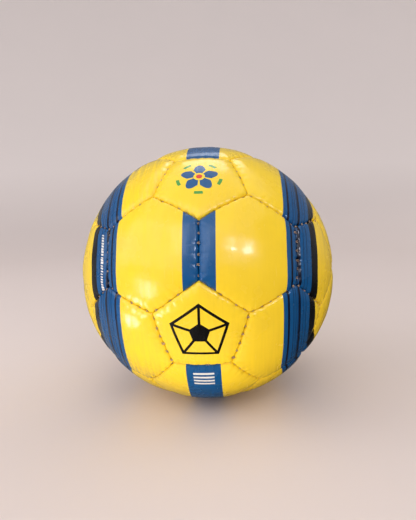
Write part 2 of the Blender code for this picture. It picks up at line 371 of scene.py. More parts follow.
@dataclass(frozen=True)
class Speckle:
    """A shared effect: fine grain for bumps, broad patches for gloss and tint, and scratches."""

    grain_size: float = 0.5
    patch_size: float = 9.0
    scratch_turn: tuple[float, float, float] = (0.5, 0.4, 0.9)
    scratch_stretch: tuple[float, float, float] = (9, 1, 1)
    scratch_scale: float = 70.0
    scratch_limits: Span = (0.66, 0.74)

    def build(self) -> bpy.types.NodeTree:
        """Make the effect.

        Returns:
            The node group, with sizes in millimetres in and masks out.
        """
        masks = {name: "NodeSocketFloat" for name in ("Grain", "Patches", "Scratches")}
        sizes = {"Grain size": self.grain_size, "Patch size": self.patch_size}
        sheet, taken, given = new_group("Surface speckle", sizes, masks)
        place = sheet.place()
        grain_scale, patch_scale = (sheet.math("DIVIDE", 1 / MM, taken[size]) for size in sizes)
        lie = {"Vector": place, "Rotation": self.scratch_turn, "Scale": self.scratch_stretch}
        stretched = sheet.add("ShaderNodeMapping", lie).outputs[0]
        scratches = sheet.noise(stretched, self.scratch_scale, detail=4.0)
        sheet.feed(given["Grain"], sheet.noise(place, grain_scale, detail=2.0))
        sheet.feed(given["Patches"], sheet.noise(place, patch_scale, detail=3.0))
        sheet.feed(given["Scratches"], sheet.range(scratches, self.scratch_limits, (0.0, 1.0)))
        return sheet.tree


class Print(Enum):
    """What a panel has printed on it."""

    STRIPES = "stripes"
    ROSETTE = "rosette"
    STAR = "star"
    BARS = "bars"
    DASHES = "dashes"


# The panels with more than stripes. The back of the ball repeats the front, turned half a turn through
# its centre.
PANEL_PRINTS = {
    "pentagon_upper_front": Print.ROSETTE,
    "pentagon_lower_back": Print.ROSETTE,
    "pentagon_low_front": Print.STAR,
    "pentagon_high_back": Print.STAR,
    "hexagon_lower_front": Print.BARS,
    "hexagon_upper_back": Print.BARS,
    "pentagon_high_front_left": Print.DASHES,
    "pentagon_low_back_right": Print.DASHES,
}


@dataclass(frozen=True)
class Pinstripe:
    """One line within a side band: how far it lies from the band's inner edge, and how wide it is."""

    offset: float
    width: float
    faint: bool = False


@dataclass(frozen=True)
class CoverFinish:
    """Glossy printed cover sheet. Lengths on the print are in millimetres from the ball's middle plane."""

    yellow: Colour = ink(253, 217, 42)
    blue: Colour = ink(3, 83, 141)
    line: Colour = ink(3, 14, 42)
    faint_line: Colour = ink(3, 52, 96)
    black: Colour = ink(12, 10, 10)
    white: Colour = ink(228, 228, 224)
    red: Colour = ink(214, 48, 44)
    green: Colour = ink(74, 158, 64)
    stripe_half_width: float = 7.3
    band_start: float = 39.7
    band_black: float = 53.3
    band_end: float = 56.8
    band_margin: float = 2.0
    pinstripes: tuple[Pinstripe, ...] = (
        Pinstripe(2.6, 1.0),
        Pinstripe(5.0, 0.35, True),
        Pinstripe(6.1, 0.35, True),
        Pinstripe(7.1, 0.35, True),
        Pinstripe(8.0, 1.2),
        Pinstripe(9.9, 0.35, True),
        Pinstripe(11.4, 0.35, True),
    )
    patch_size: float = 11.0
    patch_limits: Span = (0.3, 0.7)
    gloss: Span = (0.21, 0.3)
    shine: float = 0.42
    scratch_dulling: float = 0.06
    coat_roughness: float = 0.12
    fade: Colour = ink(206, 190, 160)
    fade_shares: Span = (0.0, 0.1)
    # Painted shade: a darker brown multiplied in down the rolled edges and into the seam creases, where the
    # crease lies in shade.
    crease_shade: Colour = ink(70, 48, 30)
    crease_shade_reach: Span = (-0.6, 0.3)
    crease_shade_shares: Span = (0.08, 0.0)
    grain_size: float = 0.55
    grain_strength: float = 0.2
    grain_depth: float = 0.05 * MM
    crease_width: float = 1.1
    crease_stretch: float = 0.14
    crease_reach: Span = (1.0, 12.0)
    crease_patches: Span = (0.42, 0.6)
    crease_shares: Span = (0.15, 1.0)
    crease_depth: float = 0.045 * MM
    streak_width: float = 1.3
    streak_stretch: float = 0.07
    streak_depth: float = 0.035 * MM
    streak_floor: float = 0.45
    streak_coat: Span = (-0.05, 0.13)

    def stripes_group(self) -> bpy.types.NodeTree:
        """A shared effect: the colour of the stripes at one distance across the ball.

        Returns:
            The node group, with the distance in and a colour out.
        """
        sheet, taken, given = new_group("Ball stripes", {"Across": 0.0}, {"Color": "NodeSocketColor"})
        distance = sheet.math("ABSOLUTE", taken["Across"])
        low, high = self.band_start - self.band_margin, self.band_end + self.band_margin
        stops = [(self.band_start, self.blue)]
        for stripe in self.pinstripes:
            left = self.band_start + stripe.offset - stripe.width / 2
            stops.append((left, self.faint_line if stripe.faint else self.line))
            stops.append((left + stripe.width, self.blue))
        stops += [(self.band_black, self.black), (self.band_end, self.yellow)]
        ramp = sheet.add("ShaderNodeValToRGB", {0: sheet.range(distance, (low, high), (0.0, 1.0))})
        bands = ramp.color_ramp
        bands.interpolation = "CONSTANT"
        bands.elements.remove(bands.elements[1])
        bands.elements[0].color = self.yellow
        for place, colour in stops:
            bands.elements.new((place - low) / (high - low)).color = colour
        in_stripe = sheet.below(distance, self.stripe_half_width)
        sheet.feed(given["Color"], sheet.mix(in_stripe, ramp.outputs[0], self.blue))
        return sheet.tree


@dataclass
class CoverPainter:
    """Paints the cover sheet with one print. Lengths are in millimetres on the print."""

    kind: Print
    finish: CoverFinish
    speckle: bpy.types.NodeTree
    stripes: bpy.types.NodeTree
    petals: int = 5
    petal_reach: float = 9.2
    petal_waist: float = 0.62
    petal_split: float = 0.12
    eye: float = 1.5
    eye_ring: float = 2.7
    leaf_ring: Span = (9.6, 11.2)
    leaf_turn: float = -0.55
    star_corners: int = 5
    star_outline: float = 11.6
    star_stroke: float = 1.3
    star_middle: float = 4.2
    bar_half_length: float = 4.4
    bar_height: float = 1.3
    bar_pitch: float = 2.7
    bar_count: int = 4
    bar_top: float = 20.5
    dash_across: float = 50.2
    dash_width: float = 1.1
    dash_pitch: float = 1.3
    dash_shares: Span = (0.4, 0.9)
    dash_ends: Span = (-11.8, 16.6)

    def __post_init__(self) -> None:
        """Start the material, and find where a point lies on the print and by its seam."""
        self.material, sheet = new_material("cover_" + self.kind.value)
        self.sheet = sheet
        uv = sheet.add("ShaderNodeUVMap", uv_map=UV_PRINT).outputs[0]
        parts = sheet.add("ShaderNodeSeparateXYZ", {0: uv}).outputs
        centred = [sheet.math("SUBTRACT", part, 0.5) for part in parts[:2]]
        self.across, self.up = (sheet.math("MULTIPLY", part, PRINT_WIDTH / MM) for part in centred)
        self.by_seam = sheet.add("ShaderNodeAttribute", attribute_name=SEAM_PLACE).outputs["Vector"]
        self.from_seam = sheet.add("ShaderNodeSeparateXYZ", {0: self.by_seam}).outputs["Z"]
        sizes = {"Grain size": self.finish.grain_size, "Patch size": self.finish.patch_size}
        self.speckled = sheet.group(self.speckle, sizes)

    def polar(self) -> tuple[Socket, Socket]:
        """Where a point lies from the panel's middle.

        Returns:
            Its distance, and its turn from upright.
        """
        squares = [self.sheet.math("POWER", part, 2.0) for part in (self.across, self.up)]
        reach = self.sheet.math("SQRT", self.sheet.math("ADD", *squares))
        return reach, self.sheet.math("ARCTAN2", self.across, self.up)

    def rosette(self) -> list[tuple[Socket, Colour]]:
        """A flower of blue petals with a red eye and green leaves between them.

        Returns:
            A mask and its ink for each layer, from the lowest up.
        """
        sheet, finish = self.sheet, self.finish
        reach, turn = self.polar()
        wave = sheet.math("COSINE", sheet.math("MULTIPLY", turn, float(self.petals)))
        middle = self.petal_reach * (1 + self.petal_waist) / 2
        edge = sheet.math("MULTIPLY_ADD", wave, self.petal_reach - middle, middle)
        between = sheet.math("ABSOLUTE", sheet.math("ADD", wave, 1.0))
        petals = sheet.all_of(sheet.below(reach, edge), sheet.math("GREATER_THAN", between, self.petal_split))
        leaves = sheet.all_of(sheet.between(reach, self.leaf_ring), sheet.below(wave, self.leaf_turn))
        ring, eye = (sheet.below(reach, size) for size in (self.eye_ring, self.eye))
        return [(petals, finish.blue), (ring, finish.yellow), (eye, finish.red), (leaves, finish.green)]

    def star(self) -> list[tuple[Socket, Colour]]:
        """A five-sided outline with a smaller solid one inside it, joined by spokes to the corners.

        Returns:
            A mask and its ink.
        """
        sheet = self.sheet
        reach, turn = self.polar()
        sector = math.tau / self.star_corners
        from_side, from_corner = (
            sheet.math("SUBTRACT", sheet.math("FLOORED_MODULO", angle, sector), sector / 2)
            for angle in (turn, sheet.math("ADD", turn, sector / 2))
        )
        rise = sheet.math("MULTIPLY", reach, sheet.math("COSINE", from_side))
        beside = sheet.math("ABSOLUTE", sheet.math("MULTIPLY", reach, sheet.math("SINE", from_corner)))
        outline = sheet.between(rise, (self.star_outline - self.star_stroke, self.star_outline))
        spokes = sheet.all_of(sheet.below(beside, self.star_stroke / 2), sheet.below(rise, self.star_outline))
        return [(sheet.any_of(outline, sheet.below(rise, self.star_middle), spokes), self.finish.black)]

    def bars(self) -> list[tuple[Socket, Colour]]:
        """Short white bars across the middle stripe.

        Returns:
            A mask and its ink.
        """
        sheet = self.sheet
        down = sheet.math("SUBTRACT", self.bar_top, self.up)
        mask = sheet.all_of(
            sheet.below(sheet.math("ABSOLUTE", self.across), self.bar_half_length),
            sheet.between(down, (0.0, self.bar_count * self.bar_pitch)),
            sheet.below(sheet.math("FLOORED_MODULO", down, self.bar_pitch), self.bar_height),
        )
        return [(mask, self.finish.white)]

    def dashes(self) -> list[tuple[Socket, Colour]]:
        """A row of uneven white dashes along a side band.

        Returns:
            A mask and its ink.
        """
        sheet = self.sheet
        from_row = sheet.math("SUBTRACT", sheet.math("ABSOLUTE", self.across), self.dash_across)
        steps = sheet.math("DIVIDE", self.up, self.dash_pitch)
        draw = sheet.add("ShaderNodeTexWhiteNoise", {"W": sheet.math("FLOOR", steps)}, noise_dimensions="1D")
        length = sheet.range(draw.outputs["Value"], (0.0, 1.0), self.dash_shares)
        mask = sheet.all_of(
            sheet.below(sheet.math("ABSOLUTE", from_row), self.dash_width / 2),
            sheet.between(self.up, self.dash_ends),
            sheet.below(sheet.math("FRACT", steps), length),
        )
        return [(mask, self.finish.white)]

    def printed(self) -> Value:
        """The colour of the print, a little faded in patches, with painted shade darkening it down the rolled
        edges into the seams.

        Returns:
            The colour.
        """
        sheet, finish = self.sheet, self.finish
        motifs = {
            Print.ROSETTE: self.rosette,
            Print.STAR: self.star,
            Print.BARS: self.bars,
            Print.DASHES: self.dashes,
        }
        colour = finish.yellow
        if self.kind not in (Print.ROSETTE, Print.STAR):
            colour = sheet.group(self.stripes, {"Across": self.across})["Color"]
        if self.kind in motifs:
            for mask, layer in motifs[self.kind]():
                colour = sheet.mix(mask, colour, layer)
        faded = sheet.range(self.speckled["Patches"], finish.patch_limits, finish.fade_shares)
        # Painted shade darkens the print towards the seam lips and in the seam creases.
        crease_shaded = sheet.range(self.from_seam, finish.crease_shade_reach, finish.crease_shade_shares)
        colour = sheet.mix(faded, colour, finish.fade, "MULTIPLY")
        return sheet.mix(crease_shaded, colour, finish.crease_shade, "MULTIPLY")

    def streaks(self) -> Socket:
        """Upright streaks where the sheet was pulled, as heights above and below its usual face.

        Returns:
            The heights.
        """
        sheet, finish = self.sheet, self.finish
        drawn_out = sheet.math("MULTIPLY", self.up, finish.streak_stretch)
        lie = sheet.add("ShaderNodeCombineXYZ", {0: self.across, 1: drawn_out}).outputs[0]
        streaks = sheet.noise(lie, 1 / finish.streak_width, detail=1.0)
        share = sheet.add("ShaderNodeAttribute", attribute_name=STREAKS).outputs["Fac"]
        return sheet.all_of(sheet.math("SUBTRACT", streaks, finish.streak_floor), share)

    def relief(self, pulled: Socket) -> Socket:
        """Fine grain, creases near the seams and streaks.

        Args:
            pulled: The heights of the streaks.

        Returns:
            The normal.
        """
        sheet, finish = self.sheet, self.finish
        grain = sheet.bump(self.speckled["Grain"], finish.grain_depth, finish.grain_strength)
        lie = {"Vector": self.by_seam, "Scale": (1, 1, finish.crease_stretch)}
        along = sheet.add("ShaderNodeMapping", lie).outputs[0]
        folds = sheet.noise(along, 1 / finish.crease_width, detail=2.0)
        near = sheet.range(self.from_seam, finish.crease_reach, (1.0, 0.0))
        here = sheet.range(self.speckled["Patches"], finish.crease_patches, finish.crease_shares)
        creased = sheet.bump(sheet.all_of(folds, near, here), finish.crease_depth, over=grain)
        return sheet.bump(pulled, finish.streak_depth, over=creased)

    def paint(self) -> bpy.types.Material:
        """Fill the material: print, gloss, relief and a coat that shows in the streaks.

        Returns:
            The material.
        """
        sheet, finish = self.sheet, self.finish
        gloss = sheet.range(self.speckled["Patches"], finish.patch_limits, finish.gloss)
        worn = sheet.math("MULTIPLY_ADD", self.speckled["Scratches"], finish.scratch_dulling, gloss)
        pulled = self.streaks()
        sheet.dress(SHADER, {
            "Base Color": self.printed(),
            "Roughness": worn,
            "Normal": self.relief(pulled),
            "Coat Weight": sheet.range(pulled, finish.streak_coat, (0.0, 1.0)),
            "Specular IOR Level": finish.shine,
            "Coat Roughness": finish.coat_roughness,
        })
        return self.material


@dataclass(frozen=True)
class Panel:
    """One panel on the net of the ball. Its corners run counterclockwise, seen from outside."""

    name: str
    axis: np.ndarray
    keys: tuple
    corners: np.ndarray

    @property
    def normals(self) -> np.ndarray:
        """The inward normals of the planes that hold its seams and the ball's centre."""
        return unit(np.cross(self.corners, np.roll(self.corners, -1, 0)))

    @property
    def side_length(self) -> float:
        """The length of one of its sides."""
        return np.linalg.norm(self.corners[1] - self.corners[0]) * BALL_RADIUS

    def drawn_in(self, points: np.ndarray, share: Lengths) -> np.ndarray:
        """The directions of points that are drawn in to a share of their distance from the panel's axis."""
        foot = (points @ self.axis)[:, None] * self.axis
        return unit(foot + (points - foot) * np.reshape(share, (-1, 1)))


@dataclass(frozen=True)
class Seam:
    """One seam: its two corners, the panels that it joins, what each of its stitches does and its depth.

    A stitch lies at a share of the seam's length. It pulls a dimple, opens the seam and shifts it
    sideways. The depth is a share of the usual depth.
    """

    keys: tuple
    start: np.ndarray
    end: np.ndarray
    panels: tuple
    stitches: np.ndarray
    pulls: np.ndarray
    openings: np.ndarray
    shifts: np.ndarray
    depth: float


@dataclass
class BallNet:
    """Where each panel and each seam lies: a truncated icosahedron with a hexagon at the top."""

    neighbour_reach: float = 1.1
    stitches_per_seam: int = 6
    stitch_wander: float = 0.02
    pull_range: Span = (0.4, 1.1)
    slack_range: Span = (0.4, 1.1)
    opening_range: Span = (0.05, 1.25)
    upright_rise: float = 0.8
    upright_slack: float = 1.5
    upright_depth: float = 1.45
    shift_reach: float = 0.26 * MM
    seed: int = 7
    corner: dict[tuple, np.ndarray] = field(default_factory=dict)
    panels: list[Panel] = field(default_factory=list)
    seams: dict[tuple, Seam] = field(default_factory=dict)

    def __post_init__(self) -> None:
        """Lay out the panels, then the seams between them."""
        axes = self.pentagon_axes()
        edge = min(np.linalg.norm(axes[0] - other) for other in axes[1:])
        beside: dict[int, list[int]] = {a: [] for a in range(len(axes))}
        for a, b in combinations(beside, 2):
            if np.linalg.norm(axes[a] - axes[b]) < self.neighbour_reach * edge:
                beside[a].append(b)
                beside[b].append(a)
        self.corner = {(a, b): unit(2 * axes[a] + axes[b]) for a in beside for b in beside[a]}
        for a in beside:
            self.panels.append(self.panel("pentagon", axes[a], [(a, b) for b in beside[a]]))
        for a, b, c in combinations(beside, 3):
            if b in beside[a] and c in beside[a] and c in beside[b]:
                keys = [(a, b), (b, a), (b, c), (c, b), (c, a), (a, c)]
                self.panels.append(self.panel("hexagon", axes[a] + axes[b] + axes[c], keys))
        self.lay_seams()

    @staticmethod
    def pentagon_axes() -> list[np.ndarray]:
        """The twelve corners of an icosahedron, tilted so that +Z runs through one of its faces.

        Returns:
            A vector for each corner.
        """
        tilt = np.array(Matrix.Rotation(-HEXAGON_TILT, 3, "X"))
        axes = []
        for near in (-1, 1):
            for far in (-GOLDEN, GOLDEN):
                axes += [(0, far, near), (far, near, 0), (near, 0, far)]
        return [tilt @ np.array(axis) for axis in axes]

    @staticmethod
    def name_of(kind: str, axis: np.ndarray) -> str:
        """The node's name, from the panel's shape, its level on the ball and the side that it faces.

        Args:
            kind: Pentagon or hexagon.
            axis: The direction of its middle.

        Returns:
            The name.
        """
        height = axis[2]
        if abs(height) > POLAR:
            return kind + ("_top" if height > 0 else "_bottom")
        above, below = ("upper", "lower") if abs(height) > OUTER else ("high", "low")
        azimuth = math.degrees(math.atan2(axis[0], -axis[1]))
        facing = next(words for limit, words in FACINGS if abs(azimuth) < limit)
        place = facing.format("right" if azimuth > 0 else "left")
        return f"{kind}_{above if height > 0 else below}_{place}"

    def panel(self, kind: str, centre: np.ndarray, keys: list[tuple]) -> Panel:
        """One panel with its corners in turn.

        Args:
            kind: Pentagon or hexagon.
            centre: A vector through its middle.
            keys: The keys of its corners, in any order.

        Returns:
            The panel.
        """
        axis = unit(centre)
        across = unit(self.corner[keys[0]] - axis * (axis @ self.corner[keys[0]]))
        up = np.cross(axis, across)
        turn = {key: math.atan2(self.corner[key] @ up, self.corner[key] @ across) % math.tau for key in keys}
        ordered = tuple(sorted(keys, key=turn.get))
        return Panel(self.name_of(kind, axis), axis, ordered, np.array([self.corner[key] for key in ordered]))

    def lay_seams(self) -> None:
        """Find the panels on both sides of each seam, and space its stitches a little unevenly."""
        sides: dict[tuple, list[Panel]] = {}
        for panel in self.panels:
            for ends in zip(panel.keys, panel.keys[1:] + panel.keys[:1]):
                sides.setdefault(tuple(sorted(ends)), []).append(panel)
        random = np.random.default_rng(self.seed)
        even = (np.arange(self.stitches_per_seam) + 0.5) / self.stitches_per_seam
        for keys, both in sides.items():
            places = even + random.uniform(-self.stitch_wander, self.stitch_wander, len(even))
            pulls = random.uniform(*self.pull_range, len(even))
            start, end = (self.corner[key] for key in keys)
            upright = abs(unit(end - start)[2]) > self.upright_rise
            slack = random.uniform(*self.slack_range) * (self.upright_slack if upright else 1.0)
            openings = slack * random.uniform(*self.opening_range, len(even))
            shifts = random.uniform(-self.shift_reach, self.shift_reach, len(even))
            depth = self.upright_depth if upright else 1.0
            self.seams[keys] = Seam(keys, start, end, tuple(both), places, pulls, openings, shifts, depth)

    def seam_on(self, panel: Panel, side: int) -> tuple[float, zip]:
        """The seam along one side of a panel.

        Args:
            panel: The panel.
            side: The number of the side, from its first corner.

        Returns:
            Its depth, and for each stitch its share of the side, its pull, its opening and its shift
            into the panel.
        """
        ends = (panel.keys[side], panel.keys[(side + 1) % len(panel.keys)])
        seam = self.seams[tuple(sorted(ends))]
        if ends == seam.keys:
            return seam.depth, zip(seam.stitches, seam.pulls, seam.openings, seam.shifts)
        return seam.depth, zip(1 - seam.stitches, seam.pulls, seam.openings, -seam.shifts)


@dataclass(frozen=True)
class FlatPanel:
    """A flat panel with its hem, which the sewn panels start from.

    Each point has its loop below the rim, its row from the middle, its side and its share along that side.
    """

    mesh: bpy.types.Mesh
    loop: np.ndarray
    row: np.ndarray
    side: np.ndarray
    along: np.ndarray

    @classmethod
    def model(cls, sides: int) -> "FlatPanel":
        """Model a fan of triangles, subdivided, with its rim extruded down loop by loop.

        Args:
            sides: Five or six.

        Returns:
            The flat panel.
        """
        start_clean()
        bpy.ops.mesh.primitive_circle_add(vertices=sides, radius=1.0, fill_type="TRIFAN", enter_editmode=True)
        bpy.ops.mesh.select_all(action="SELECT")
        bpy.ops.mesh.subdivide(number_cuts=ROWS - 1)
        bpy.ops.mesh.select_mode(type="EDGE")
        bpy.ops.mesh.select_all(action="DESELECT")
        bpy.ops.mesh.select_non_manifold()
        for _ in range(HEM_LOOPS + len(LINING_SHARES)):
            bpy.ops.mesh.extrude_edges_move(TRANSFORM_OT_translate={"value": (0, 0, -1)})
        bpy.ops.mesh.merge(type="CENTER")
        mesh = take_mesh()

        points = points_of(mesh)
        turns = math.pi / 2 + math.tau * np.arange(sides) / sides
        corners = np.stack([np.cos(turns), np.sin(turns)], 1)
        turn = (np.arctan2(points[:, 1], points[:, 0]) - math.pi / 2) % math.tau
        side = np.minimum((turn / (math.tau / sides)).astype(int), sides - 1)
        frames = np.stack([corners[side], corners[(side + 1) % sides]], 2)
        shares = np.linalg.solve(frames, points[:, :2, None])[:, :, 0]
        reach = shares.sum(1)
        along = np.where(reach > TINY, shares[:, 1] / np.maximum(reach, TINY), 0.5)
        row = np.rint(reach * ROWS).astype(int)
        return cls(mesh, np.rint(-points[:, 2]).astype(int), row, side, np.clip(along, 0, 1))

    @property
    def mid_side(self) -> np.ndarray:
        """A share for each point that is 1 half-way along its side and 0 at the corners."""
        return np.sqrt(np.clip(4 * self.along * (1 - self.along), 0, 1))


@dataclass
class SewnPanel:
    """One sewn panel: domed, rolled over at its edge with a dip at each stitch, and turned in as a hem."""

    panel: Panel
    flat: FlatPanel
    net: BallNet
    random: np.random.Generator
    thickness: float = 2.0 * MM
    crown_fall: float = 0.45 * MM
    crown_ease: float = 1.25
    crown_reach: float = BALL_RADIUS / 3
    roll_width: float = 1.8 * MM
    roll_depth: float = 1.45 * MM
    lip_slope: float = 1.2
    swell_depth: float = 0.52 * MM
    swell_reach: float = 3.2 * MM
    slack_share: float = 0.82
    corner_round: float = 0.6 * MM
    gap_open: float = 0.37 * MM
    gap_length: float = 1.1 * MM
    shift_length: float = 1.5 * MM
    hem_gap: float = 0.35 * MM
    hem_radius: float = BALL_RADIUS - 5.0 * MM
    pucker_depth: float = 0.12 * MM
    pucker_length: float = 1.0 * MM
    pucker_reach: float = 2.2 * MM
    wrinkle_depth: float = 0.04 * MM
    wrinkle_reach: Span = (2.0 * MM, 9.0 * MM)
    wrinkle_counts: tuple[int, ...] = (6, 8, 11, 14, 18)
    wrinkle_shares: Span = (0.2, 0.6)
    wave_count: int = 9
    wave_depth: float = 0.018 * MM
    wave_length: Span = (7 * MM, 20 * MM)
    print_wander: float = 0.45 * MM
    wide_stripe: float = 1.15
    streak_range: Span = (0.0, 0.25)

    def ring(self, inset: Lengths, radius: Lengths) -> np.ndarray:
        """Points at given distances from the seam planes and from the ball's centre.

        Args:
            inset: The distance of each point from its seam plane.
            radius: The distance of each point from the ball's centre.

        Returns:
            The points.
        """
        flat, normals = self.flat, self.panel.normals
        inset, radius = (np.broadcast_to(length, flat.along.shape) for length in (inset, radius))
        bends = []
        for shift in (0, 1):
            corner = (flat.side + shift) % len(normals)
            before, after = normals[corner - 1], normals[corner]
            share = inset / (1 + (before * after).sum(1))
            sideways = (before + after) * share[:, None]
            height = np.sqrt(radius**2 - (sideways**2).sum(1))
            bends.append(sideways + unit(np.cross(before, after)) * height[:, None])
        straight = bends[0] + (bends[1] - bends[0]) * flat.along[:, None]
        normal = normals[flat.side]
        straight -= normal * (straight * normal).sum(1)[:, None]
        return normal * inset[:, None] + unit(straight) * np.sqrt(radius**2 - inset**2)[:, None]

    def stitch_marks(self) -> tuple[np.ndarray, np.ndarray, np.ndarray]:
        """What the stitches do along the panel's sides.

        Returns:
            How strongly the stitches pull at each point, 0 to about 1, how far the lip stands off its
            seam, and the depth of the seam as a share of the usual depth.
        """
        flat = self.flat
        pull, inset, depth = (np.zeros(len(flat.along)) for _ in range(3))
        for side in range(len(self.panel.corners)):
            here = flat.side == side
            seam_depth, stitches = self.net.seam_on(self.panel, side)
            depth[here] = 1 + (seam_depth - 1) * flat.mid_side[here]
            for place, strength, opening, shift in stitches:
                away = (flat.along[here] - place) * self.panel.side_length
                pull[here] += strength * bell(away, self.pucker_length)
                inset[here] += self.gap_open * opening * bell(away, self.gap_length)
                inset[here] += shift * bell(away, self.shift_length)
        return pull, inset, depth

    def wrinkles(self, away: np.ndarray) -> np.ndarray:
        """Fine folds that run in from the seams, further from some seams than from others.

        Args:
            away: The distance of each point from its seam.

        Returns:
            The height of each point, in metres.
        """
        flat = self.flat
        height = np.zeros(len(away))
        for side in range(len(self.panel.corners)):
            here = flat.side == side
            reach = self.random.uniform(*self.wrinkle_reach)
            for count in self.wrinkle_counts:
                phase = self.random.uniform(0, math.tau)
                strength = self.random.uniform(*self.wrinkle_shares)
                fold = np.sin(math.tau * count * flat.along[here] + phase)
                height[here] += strength * fold * np.exp(-away[here] / reach)
        return height * flat.mid_side * self.wrinkle_depth

    def waves(self, points: np.ndarray) -> np.ndarray:
        """Broad unevenness of the sheet.

        Args:
            points: The points of the even sheet.

        Returns:
            The height of each point, in metres.
        """
        height = np.zeros(len(points))
        for _ in range(self.wave_count):
            way = unit(self.random.normal(size=3))
            phase = self.random.uniform(0, math.tau)
            length = self.random.uniform(*self.wave_length)
            height += self.wave_depth * np.sin(points @ way * (math.tau / length) + phase)
        return height

    def roll_drop(self, distance: np.ndarray) -> np.ndarray:
        """How far the rolled edge has fallen at a distance from its lip. Past the lip it falls on.

        Args:
            distance: The distance of each point from the lip, in from the seam.

        Returns:
            The fall of each point.
        """
        share = np.clip(1 - distance / self.roll_width, 0, 1)
        round_over = self.roll_depth * (1 - np.sqrt(1 - share**2))
        swell = self.swell_depth * bell(np.clip(distance, 0, None), self.swell_reach)
        return round_over + swell + self.lip_slope * np.clip(-distance, 0, None)

    def face(self) -> tuple[np.ndarray, np.ndarray]:
        """Shape the outer face: its dome, its rolled edge, its dips and its folds.

        Returns:
            The points on the ball, and the distance of each one from its lip.
        """
        flat, normals = self.flat, self.panel.normals
        pull, half_gap, depth = self.stitch_marks()
        crown_rows = ROWS - ROLL_ROWS
        turn = np.clip((flat.row - crown_rows) / ROLL_ROWS, 0, 1) * math.pi / 2
        share = 1 - (1 - np.clip(flat.row / crown_rows, 0, 1)) ** self.crown_ease
        rim = self.ring(half_gap + self.roll_width * (1 - np.sin(turn)), BALL_RADIUS)
        way = self.panel.drawn_in(rim, share)

        away = way @ normals.T * BALL_RADIUS
        index = np.arange(len(way))
        here = away[index, flat.side]
        beside = np.minimum(away[index, flat.side - 1], away[index, (flat.side + 1) % len(normals)])
        rounding = self.corner_round * np.logaddexp(0, -(beside - here) / self.corner_round)
        distance = here - half_gap - rounding

        sweep = share + np.sin(turn) * self.roll_width / self.crown_reach
        held = depth * (self.slack_share + (1 - self.slack_share) * np.clip(pull, 0, 1))
        radius = BALL_RADIUS - self.crown_fall * sweep**2 - self.roll_drop(distance) * held
        near = np.clip(here, 0, None)
        radius -= self.pucker_depth * pull * bell(near, self.pucker_reach)
        radius -= self.wrinkles(near)
        radius -= self.waves(way * BALL_RADIUS)
        return way * radius[:, None], distance

    def turn_in(self, points: np.ndarray) -> None:
        """Move the points of the hem and of the lining, which closes the panel's back, to their places.

        Args:
            points: All the panel's points.
        """
        lip_radius = BALL_RADIUS - self.crown_fall - self.roll_depth - self.swell_depth
        lining_radius = BALL_RADIUS - self.crown_fall - self.thickness
        hem_inset = self.hem_gap + self.thickness
        hem = (
            (self.hem_gap, (lip_radius + self.hem_radius) / 2),
            (self.hem_gap, self.hem_radius),
            (hem_inset, self.hem_radius),
        )
        for loop, (inset, radius) in enumerate(hem, 1):
            here = self.flat.loop == loop
            points[here] = self.ring(inset, radius)[here]
        lining = self.ring(hem_inset, lining_radius)
        for loop, share in enumerate(LINING_SHARES, 1 + HEM_LOOPS):
            here = self.flat.loop == loop
            points[here] = self.panel.drawn_in(lining, share)[here] * lining_radius

    def seam_places(self, distance: np.ndarray) -> np.ndarray:
        """Where each point lies by the seams: round a ring as long as the panel's rim, and in from the seam.

        Args:
            distance: The distance of each point from its lip.

        Returns:
            Three numbers for each point, in millimetres.
        """
        count = len(self.panel.corners)
        turn = math.tau * (self.flat.side + self.flat.along) / count
        ring = self.panel.side_length * count / math.tau
        return np.stack([ring * np.cos(turn), ring * np.sin(turn), distance], 1) / MM

    def shape(self) -> bpy.types.Mesh:
        """Shape the flat panel into the sewn one.

        Returns:
            Its mesh, which notes where each point lies by the seams.
        """
        points, distance = self.face()
        self.turn_in(points)
        distance = np.where(self.flat.loop == 0, distance, -self.roll_width)
        mesh = self.flat.mesh.copy()
        mesh.name = "sewn_" + self.panel.name
        mesh.vertices.foreach_set("co", points.ravel())
        seam = mesh.attributes.new(SEAM_PLACE, "FLOAT_VECTOR", "POINT")
        seam.data.foreach_set("vector", self.seam_places(distance).ravel())
        return mesh

    def print_places(self, points: np.ndarray) -> np.ndarray:
        """Where each point lies on the print: across the ball, and up the panel, with a little misregister.

        Args:
            points: The panel's points on the ball.

        Returns:
            A pair of shares of the print's width for each point.
        """
        axis = self.panel.axis
        facing = 1.0 if axis[1] < 0 else -1.0
        upright = np.array((0.0, 0.0, 1.0) if abs(axis[2]) < POLAR else (0.0, -axis[2], 0.0))
        up = unit(upright - axis * (axis @ upright))
        usual = self.random.uniform(-self.print_wander, self.print_wander)
        across = points[:, 0] * facing - PRINT_SHIFTS.get(self.panel.name, usual)
        if len(self.panel.corners) == 6 and abs(axis[0]) < MM:
            across /= self.wide_stripe
        return np.stack([across, points @ up], 1) / PRINT_WIDTH + 0.5

    def lay_print(self, mesh: bpy.types.Mesh) -> None:
        """Note on the mesh where its points lie on the print, and how strongly its gloss is streaked.

        Args:
            mesh: The panel's mesh.
        """
        places = self.print_places(unit(points_of(mesh)) * BALL_RADIUS)
        share = STREAK_SHARES.get(self.panel.name, self.random.uniform(*self.streak_range))
        streaks = mesh.attributes.new(STREAKS, "FLOAT", "POINT")
        streaks.data.foreach_set("value", np.full(len(places), share))
        corner_points = np.zeros(len(mesh.loops), int)
        mesh.loops.foreach_get("vertex_index", corner_points)
        for layer in list(mesh.uv_layers):
            mesh.uv_layers.remove(layer)
        layer = mesh.uv_layers.new(name=UV_PRINT)
        layer.data.foreach_set("uv", places[corner_points].ravel())


